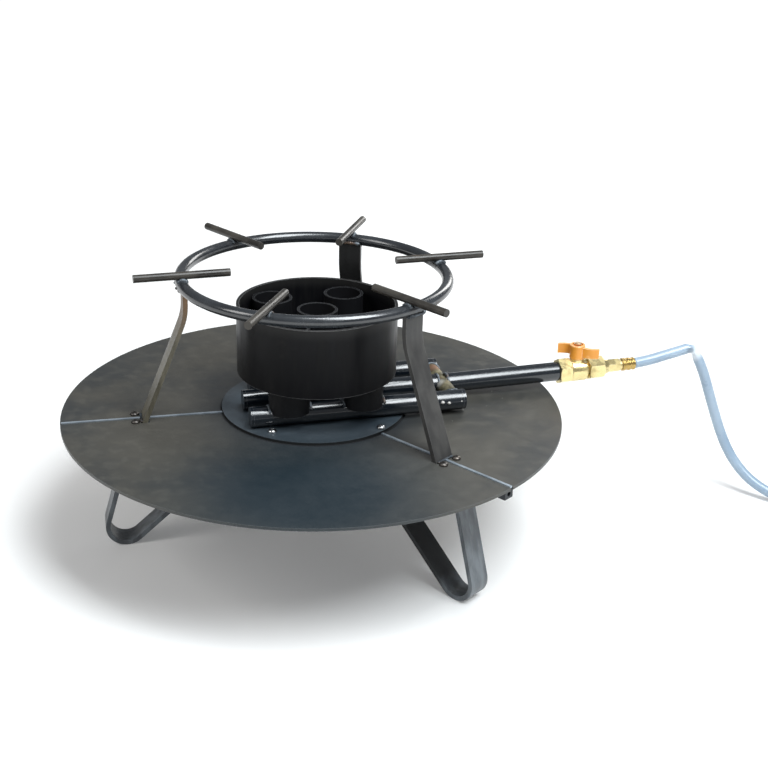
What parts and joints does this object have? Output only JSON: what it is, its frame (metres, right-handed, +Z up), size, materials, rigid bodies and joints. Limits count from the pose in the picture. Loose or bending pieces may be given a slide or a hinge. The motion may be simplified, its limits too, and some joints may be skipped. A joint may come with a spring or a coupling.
{
  "type": "gas burner stand",
  "caption": "Three-legged gas burner stand with a round heat-shield table, pot ring, jet burner in a steel shroud, brass ball valve and gas hose.",
  "frame": {"origin": "on the floor under the axis of the table and the pot ring", "axes": "+Z up, +X along the gas inlet towards the valve and the hose, +Y to the rear"},
  "size_m": [0.981, 0.5572, 0.303],
  "materials": {
    "table_sheet": "satin dark warm grey sheet steel, slightly mottled",
    "disc_sheet": "satin dark grey sheet steel, heat marked",
    "rib_steel": "bare steel edge, cool grey",
    "screw_steel": "bright plated",
    "leg_bar": "semi-gloss dark grey paint",
    "upright_bar": "matte dark grey paint",
    "ring_steel": "dark bare steel, worn bright along the top",
    "rod_steel": "brownish bare steel bar",
    "shroud_black": "satin black heat paint",
    "tube_black": "satin black heat paint",
    "jet_brass": "turned, dull",
    "pipe_black": "glossy black paint",
    "header_burnt": "burnt and rusty from welding",
    "valve_brass": "forged, bright pale yellow",
    "ferrule_brass": "crimped, darker gold",
    "seat_white": "white seal plastic",
    "ball_chrome": "polished",
    "stem_steel": "plated steel",
    "handle_orange": "semi-gloss orange paint",
    "hose_rubber": "smooth light blue-grey hose skin"
  },
  "bodies": {
    "stand": {"burner_shroud": "shroud_black", "centre_disc": "disc_sheet", "disc_screws": "screw_steel", "end_ferrule": "ferrule_brass", "gas_hose": "hose_rubber", "gas_jet_centre": "jet_brass", "gas_jet_front_left": "jet_brass", "gas_jet_front_right": "jet_brass", "gas_jet_rear_left": "jet_brass", "gas_jet_rear_right": "jet_brass", "gland_nut": "valve_brass", "header_pipe": "header_burnt", "hose_barb": "valve_brass", "hose_coil": "hose_rubber", "hose_ferrule": "ferrule_brass", "hose_tail": "hose_rubber", "hub_post": "rib_steel", "inlet_pipe": "pipe_black", "jet_tube_centre": "tube_black", "jet_tube_front_left": "tube_black", "jet_tube_front_right": "tube_black", "jet_tube_rear_left": "tube_black", "jet_tube_rear_right": "tube_black", "leg_front": "leg_bar", "leg_left": "leg_bar", "leg_rear": "leg_bar", "manifold_caps": "pipe_black", "manifold_pipe_front": "pipe_black", "manifold_pipe_middle": "pipe_black", "manifold_pipe_rear": "pipe_black", "pot_ring": "ring_steel", "pot_rod_1": "rod_steel", "pot_rod_2": "rod_steel", "pot_rod_3": "rod_steel", "pot_rod_4": "rod_steel", "pot_rod_5": "rod_steel", "pot_rod_6": "rod_steel", "rim_lug": "rib_steel", "sector_screws": "screw_steel", "sector_tabs": "rib_steel", "table_rib_front": "rib_steel", "table_rib_left": "rib_steel", "table_rib_rear": "rib_steel", "table_sector_front": "table_sheet", "table_sector_rear": "table_sheet", "table_sector_right": "table_sheet", "union_nut": "valve_brass", "upright_front": "upright_bar", "upright_left": "upright_bar", "upright_rear": "upright_bar", "valve_body": "valve_brass", "valve_end": "valve_brass", "valve_seats": "seat_white"},
    "valve_rotor": {"valve_handle": "handle_orange", "handle_nut": "stem_steel", "valve_stem": "stem_steel", "valve_ball": "ball_chrome"}
  },
  "joints": [
    {"name": "handle_turn", "type": "hinge", "parent": "stand", "child": "valve_rotor", "pos_m": [0.30296, 0, 0.159], "axis": [-0.0209, 0, 0.9998], "range_deg": [-55, 35]}
  ]
}
